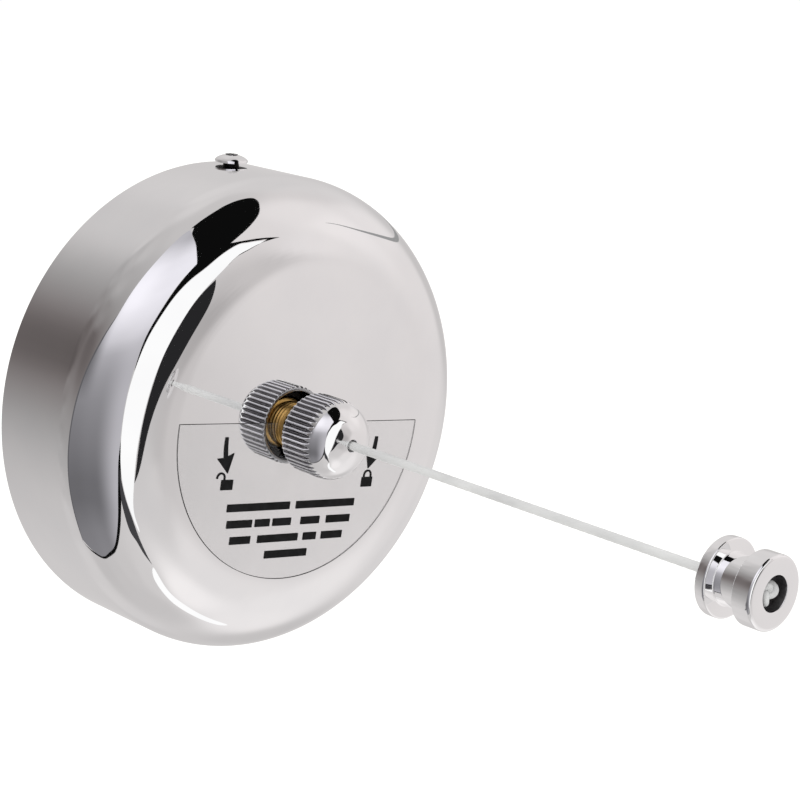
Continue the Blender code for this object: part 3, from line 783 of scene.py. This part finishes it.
def glow_material(name):
    """Plain light of the colours stored in a card's points."""
    made = bpy.data.materials.new(name)
    made.use_nodes = True
    tree = made.node_tree
    tree.nodes.clear()
    out = tree.nodes.new("ShaderNodeOutputMaterial")
    glow = tree.nodes.new("ShaderNodeEmission")
    tone = tree.nodes.new("ShaderNodeAttribute")
    tone.attribute_name = "tone"
    tree.links.new(tone.outputs["Color"], glow.inputs["Color"])
    tree.links.new(glow.outputs["Emission"], out.inputs["Surface"])
    made.cycles.emission_sampling = "NONE"
    return made


def card(name, verts, faces, tones, material):
    """A studio card that only reflections show. tones is the colour of each point."""
    mesh = bpy.data.meshes.new(name)
    mesh.from_pydata([tuple(v) for v in verts], [], faces)
    layer = mesh.color_attributes.new("tone", "FLOAT_COLOR", "POINT")
    for i, color in enumerate(tones):
        layer.data[i].color = (*color, 1.0)
    mesh.shade_smooth()
    mesh.materials.append(material)
    made = bpy.data.objects.new(name, mesh)
    scene.collection.objects.link(made)
    made.visible_camera = False
    made.visible_diffuse = False
    made.visible_shadow = False
    return made


def smooth_loop(points, steps=6):
    """A closed Catmull-Rom loop through unit vectors. A point given twice stays a sharp corner."""
    out = []
    count = len(points)
    for i in range(count):
        p0, p1, p2, p3 = (points[(i + k) % count] for k in (-1, 0, 1, 2))
        if (p1 - p2).length < 1e-6:
            continue
        for j in range(steps):
            t = j / steps
            out.append(((p1 * 2 + (p2 - p0) * t + (p0 * 2 - p1 * 5 + p2 * 4 - p3) * t * t
                         + (p1 * 3 - p0 - p2 * 3 + p3) * t ** 3) / 2).normalized())
    return out


def to_lonlat(v):
    """Lon and lat of a unit vector, the reverse of direction."""
    return math.degrees(math.atan2(v.x, -v.y)), math.degrees(math.asin(max(-1, min(1, v.z))))


def panel(name, corners, tone, material, radius, spacing=0.05):
    """A panel on the studio sphere inside (lon, lat) corners. tone(lon, lat) is its colour."""
    loop = smooth_loop([direction(*c) for c in corners])
    middle = sum(loop, Vector()).normalized()
    east = middle.cross(Vector((0, 0, 1)))
    east = east.normalized() if east.length > 1e-3 else Vector((1, 0, 0))
    north = east.cross(middle)

    def flat(v):
        """Stereographic view of the sphere about the panel's middle."""
        k = 2.0 / (1.0 + v.dot(middle))
        return Vector((v.dot(east) * k, v.dot(north) * k))

    def lifted(p):
        """The reverse of flat."""
        k = 1.0 + p.length_squared / 4
        return (east * p.x + north * p.y + middle * (2 - k)) / k

    rim = [flat(v) for v in loop]
    low = Vector((min(p.x for p in rim), min(p.y for p in rim)))
    high = Vector((max(p.x for p in rim), max(p.y for p in rim)))
    points = list(rim)
    skew = 0.0007                    # keeps the grid's points from lying in line
    for i in range(1, int((high.x - low.x) / spacing)):
        for j in range(1, int((high.y - low.y) / spacing)):
            points.append(Vector((low.x + i * spacing + skew * j, low.y + j * spacing + skew * i)))
    edges = [(i, (i + 1) % len(rim)) for i in range(len(rim))]
    made = delaunay_2d_cdt(points, edges, [], 1, 1e-7)
    directions = [lifted(p) for p in made[0]]
    verts = [STUDIO_CENTRE + d * radius for d in directions]
    tones = [tone(*to_lonlat(d)) for d in directions]
    return card(name, verts, [tuple(f) for f in made[2]], tones, material)


def grey(tone, tint=(1.0, 1.0, 1.0)):
    """Light of a card that chrome shows as this display tone."""
    value = linear(tone) / ALBEDO
    return tuple(value * t for t in tint)


def surround_tone(lon, lat):
    """The room's soft walls: pale on the right, and a grey band behind on the left."""
    keys = [
        (40, 0, 219), (20, 2, 172), (12, -12, 188), (25, -10, 197), (28, 12, 196), (10, -22, 205),
        (30, -30, 224), (55, -35, 231), (75, -15, 218), (100, -20, 214), (130, -15, 210),
        (110, 5, 195), (115, -50, 194), (145, -50, 200), (170, -60, 208), (20, -52, 240),
        (60, -55, 233), (-10, -60, 205), (-40, -65, 198), (40, 20, 226), (60, 30, 234),
        (85, 30, 228), (85, 10, 221), (20, 50, 219), (50, 50, 226), (100, 50, 211), (130, 55, 207),
        (160, 50, 211), (175, 65, 208), (-175, 45, 200), (-155, 50, 201), (-140, 50, 181),
        (-140, 40, 166), (-135, 30, 143), (-130, 20, 105), (-135, 10, 92), (-130, 0, 131),
        (-128, -10, 150), (-130, -20, 169), (-135, -30, 184), (-140, -40, 199), (-150, -55, 206),
        (-110, -68, 192), (-70, -72, 195), (0, -80, 196), (-100, 80, 194), (150, 80, 196),
        (-125, 60, 190), (-112, 45, 170), (-110, 32, 140), (-108, 20, 101)
    ]
    here = direction(lon, lat)
    total = 0.0
    weight = 0.0
    for key_lon, key_lat, key_tone in keys:
        near = 1.0 / max(1e-3, (here - direction(key_lon, key_lat)).length) ** 4
        total += key_tone * near
        weight += near
    pink = smoothstep(-40, 0, lat) * smoothstep(0, 20, lon) * (1 - smoothstep(80, 120, lon))
    tone = total / weight
    dusk = 1 - smoothstep(95, 165, tone)
    tint = tuple(1.0 - (1.0 - t) * (0.7 + 0.3 * pink + 2.0 * dusk) for t in WARM)
    return grey(tone, tint)


def left_tone(lon, lat):
    """The big soft panel at front left: bright at the top and falling to grey."""
    middle = piecewise(lat, [
        (-62, 135), (-50, 128), (-38, 110), (-30, 110), (-20, 121), (-10, 130), (0, 140),
        (10, 155), (18, 174), (23, 203), (30, 228), (38, 248), (47, 250), (55, 244), (62, 222),
        (70, 188), (80, 180)
    ])
    lift = smoothstep(-62, -31, lon) * piecewise(lat, [
        (-60, 45), (-30, 72), (0, 42), (12, 22), (25, 10), (40, -12)
    ])
    drop = smoothstep(-72, -98, lon) * piecewise(lat, [
        (-40, 4), (0, 5), (10, 45), (20, 75), (32, 70), (45, 60), (60, 30)
    ])
    return grey(max(90.0, middle + lift - drop), COOL)


def plain_tone(tone, tint=(1.0, 1.0, 1.0)):
    """The same light all over a panel."""
    color = grey(tone, tint)
    return lambda lon, lat: color


def build_room(glow):
    """The whole sphere behind the panels."""
    rows, cols = 60, 120
    verts, tones = [], []
    for i in range(rows + 1):
        lat = -90 + 180 * i / rows
        for j in range(cols):
            lon = -180 + 360 * j / cols
            verts.append(STUDIO_CENTRE + direction(lon, lat) * (STUDIO_RADIUS + 0.05))
            tones.append(surround_tone(lon, max(-89.0, min(89.0, lat))))
    faces = []
    for i in range(rows):
        for j in range(cols):
            k = (j + 1) % cols
            faces.append((i * cols + j, i * cols + k, (i + 1) * cols + k, (i + 1) * cols + j))
    card("room", verts, faces, tones, glow)


def build_studio():
    """The soft panels, seams and dark flags that the chrome reflects."""
    glow = glow_material("studio_glow")
    build_room(glow)
    dark = plain_tone(12)
    line = plain_tone(95, COOL)

    left_edge = [
        (-128, -51), (-121, -45), (-113, -28), (-105, -10), (-97, 8), (-88, 22), (-80, 33),
        (-78, 45), (-74, 60), (-70, 76)
    ]
    top_right = [(-50, 75), (-38, 71), (-26, 65), (-18, 58), (-12, 50), (-9, 43.5)]
    right_edge = [
        (-16, 38), (-23, 28), (-27, 19), (-29, 10), (-30, 0), (-30, -14), (-31, -28), (-35, -40),
        (-45, -52), (-64, -60.5), (-90, -62.5), (-112, -58.5)
    ]
    panel("left_panel", left_edge + top_right + right_edge + [left_edge[0]], left_tone, glow,
          STUDIO_RADIUS + 0.02)
    panel("left_panel_seam", [
        (-129, -51.5), (-122.5, -45), (-114.5, -28), (-106.5, -10), (-98.5, 8), (-89, 23),
        (-80.5, 34), (-80, 34), (-87, 22), (-96, 8), (-104, -10), (-112, -28), (-120, -45),
        (-127.5, -51)
    ], line, glow, STUDIO_RADIUS + 0.012)
    panel("left_panel_foot", [
        (-29.5, -13), (-29.5, -13), (-28, -20), (-27.5, -28), (-31, -38), (-38, -47.5), (-52, -57),
        (-70, -61.5), (-92, -63.2), (-112, -59.8), (-131, -51.3), (-131, -51.3), (-112, -58.6),
        (-92, -62.2), (-70, -60), (-52, -55), (-41, -47), (-34.5, -38), (-31.5, -28), (-30.8, -20)
    ], dark, glow, STUDIO_RADIUS + 0.01)
    panel("ceiling_flag", [
        (-68, 79), (-58, 78.5), (-44, 73.5), (-30, 67.5), (-20, 60), (-14, 52), (-9, 43.5),
        (-9, 43.5), (-16.5, 37), (-22, 29), (-26.5, 22), (-28.2, 17), (-28.6, 9), (-28, 9),
        (-26.5, 14.5), (-24.5, 19.5), (-20, 25.5), (-15, 31), (-8.5, 34.6), (0, 36.5), (7.5, 39.6),
        (15, 40.8), (20, 38.5), (25, 35.8), (27.5, 34), (21, 31.8), (16, 31), (13.5, 28.5),
        (13.5, 29.2), (18, 32.2), (25, 33), (32.5, 32.2), (32.5, 32.2), (26, 37), (18, 41.5),
        (11, 45), (11, 45), (21, 51), (35, 59.5), (52, 67), (72, 71), (92, 73.5), (104, 78),
        (110, 84), (100, 88), (-60, 88)
    ], dark, glow, STUDIO_RADIUS - 0.005)
    panel("front_window", [
        (-28, 8), (-26.5, 14), (-24.5, 19), (-20, 25), (-15, 30.5), (-8.5, 34.1), (0, 36),
        (7.5, 39.1), (15, 40.3), (20, 38), (25, 35.2), (27, 33.6), (27, 33.6), (21, 32.4),
        (16, 31.4), (11.3, 26.3), (3.8, 19), (-2.2, 9), (-5, 2.5), (-7.5, -6), (-11, -17),
        (-13, -24), (-15, -30), (-15, -34), (-12, -38), (-13, -39), (-19, -34), (-24, -29),
        (-27.8, -22), (-29.3, -12), (-29.4, 0)
    ], plain_tone(252), glow, STUDIO_RADIUS - 0.01)
    panel("kidney_flag", [
        (10.3, 23.6), (10.3, 23.6), (4, 19.2), (0.3, 13), (-3.4, 6.4), (-5.3, -1), (-8.4, -12),
        (-10.4, -19), (-12.8, -24.2), (-12.8, -24.2), (-9, -21.5), (-5, -17.5), (0, -10),
        (4.5, -5), (8, -2.3), (12.5, 0.6), (15, 5), (15.4, 10), (13.2, 17)
    ], plain_tone(38, COOL), glow, STUDIO_RADIUS - 0.02)
    panel("low_wedge", [
        (-29.5, -22), (-29.5, -22), (-24, -30), (-18, -36), (-14, -41), (-5, -50), (-5, -50),
        (-12, -47.5), (-17, -44.5), (-23, -42), (-27, -36), (-29, -31)
    ], plain_tone(66, COOL), glow, STUDIO_RADIUS - 0.008)
    panel("foot_light", [
        (-4, -51), (8, -60), (30, -63), (60, -61.5), (61, -64.5), (35, -68), (10, -66.5), (-6, -58)
    ], plain_tone(254), glow, STUDIO_RADIUS)
    panel("right_seam", [
        (57, 35.5), (70, 29.5), (95, 22), (112, 16), (131, 6), (131, 5), (112, 14.6), (95, 20.6),
        (70, 28.2), (57, 35)
    ], plain_tone(150), glow, STUDIO_RADIUS)


def build_surroundings():
    """Pale world and floor, and one soft lamp."""
    world = bpy.data.worlds.new("studio")
    world.use_nodes = True
    sky = world.node_tree.nodes["Background"]
    sky.inputs["Color"].default_value = PALE
    sky.inputs["Strength"].default_value = 1.02
    scene.world = world
    floor_material, _, shader = new_material("pale_floor")
    shader.inputs["Base Color"].default_value = (0.9, 0.9, 0.89, 1.0)
    shader.inputs["Roughness"].default_value = 0.7
    shader.inputs["Emission Color"].default_value = PALE
    shader.inputs["Emission Strength"].default_value = 0.25
    mesh = bpy.data.meshes.new("floor")
    corners = ((-1, -1), (1, -1), (1, 1), (-1, 1))
    mesh.from_pydata([(FLOOR_SIZE * x, FLOOR_SIZE * y, FLOOR_LEVEL) for x, y in corners], [],
                     [(0, 1, 2, 3)])
    mesh.materials.append(floor_material)
    floor = bpy.data.objects.new("floor", mesh)
    scene.collection.objects.link(floor)
    lamp_data = bpy.data.lights.new("key", "AREA")
    lamp_data.energy = 4.0
    lamp_data.size = 0.6
    lamp = bpy.data.objects.new("key", lamp_data)
    scene.collection.objects.link(lamp)
    lamp.location = (-0.5, -0.6, 1.0)
    towards = Vector((0.0, -0.07, 0.0)) - lamp.location
    lamp.rotation_euler = towards.to_track_quat("-Z", "Y").to_euler()
    lamp.visible_glossy = False


# ---------------------------------------------------------------- assembly

def build():
    """Camera, materials, pieces, cord and studio."""
    make_camera()
    scene.view_settings.view_transform = "Standard"
    cord = cord_material("line_nylon")
    chrome = chrome_material("housing_chrome")
    knob_chrome = chrome_material("knob_chrome", (0.02, 0.06), 0.00001)
    # A brighter copy of the chrome for the bobbin: painted light, standing in for the reflection of
    # an extra card.
    spool_chrome = chrome_material("spool_chrome", (0.02, 0.05), 0.00001, (0.97, 0.972, 0.978),
                                   (0.99, 0.99, 0.992))
    brass = metal_material("stem_brass", (0.72, 0.42, 0.12), (0.90, 0.58, 0.20), (0.26, 0.40),
                           300.0, relief=0.000008)
    steel = metal_material("zinc_steel", (0.50, 0.51, 0.53), (0.66, 0.67, 0.68), (0.28, 0.45),
                           500.0)
    # Near-black metal for the knob's bore and counterbore and for the screw's underside and socket:
    # painted shade in those hollows.
    painted_shade_black = metal_material("painted_shade_near_black", (0.010, 0.010, 0.011), (0.03, 0.028, 0.026),
                               (0.4, 0.6), 700.0)
    # Dark grey metal for the knurl's grooves: painted shade down in the grooves of the chrome knob.
    grooves = metal_material("knurl_grooves_painted_shade", (0.13, 0.124, 0.126), (0.24, 0.232, 0.238),
                             (0.25, 0.4), 500.0)
    # Mid-grey metal for the inside of the bobbin's recess: painted shade in the hollow.
    recess = metal_material("bobbin_recess_painted_shade", (0.30, 0.295, 0.30), (0.42, 0.41, 0.415), (0.3, 0.45),
                            500.0)
    spring = metal_material("spring_steel", (0.30, 0.31, 0.34), (0.42, 0.43, 0.46), (0.25, 0.4),
                            500.0)
    bronze = metal_material("bush_bronze", (0.50, 0.33, 0.16), (0.62, 0.43, 0.23), (0.35, 0.5),
                            900.0)
    white = plastic_material("reel_plastic", (0.80, 0.79, 0.76), (0.86, 0.85, 0.82), (0.35, 0.5))
    nylon = plastic_material("washer_nylon", (0.76, 0.74, 0.68), (0.84, 0.82, 0.77), (0.4, 0.55))
    looks = (
        (steel, ("wall_plate", "reel_frame", "reel_axle", "stem_washer", "stem_nut",
                 "frame_screw_1", "frame_screw_2", "frame_screw_3", "frame_screw_4")),
        (spring, ("power_spring", "axle_clip_left", "axle_clip_right")),
        (bronze, ("drum_bush_left", "drum_bush_right")),
        (brass, ("clamp_collet",)),
        (nylon, ("thrust_washer_left", "thrust_washer_right", "line_guide")),
        (white, ("reel_drum", "spring_cover")),
        (cord, ("line_winding", "line_end_knot", "line_inner_run")))
    for look, names in looks:
        for name in names:
            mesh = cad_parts[name].data
            mesh.materials.clear()
            mesh.materials.append(look)

    shell_piece(chrome)
    label_film(film_material("clear_film"))
    label_print(ink_material("label_ink"))
    screw_piece(knob_chrome, painted_shade_black)
    washer_piece(steel)
    knob_piece(knob_chrome, painted_shade_black, grooves, steel)
    stem_piece(brass)
    spool = spool_piece(spool_chrome, recess)
    knot = knot_piece(cord)
    line = line_tube("line_taut", KNOB_TIP, LINE_END, cord)
    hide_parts("line_free")
    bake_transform(line)
    build_surroundings()
    build_studio()


build()
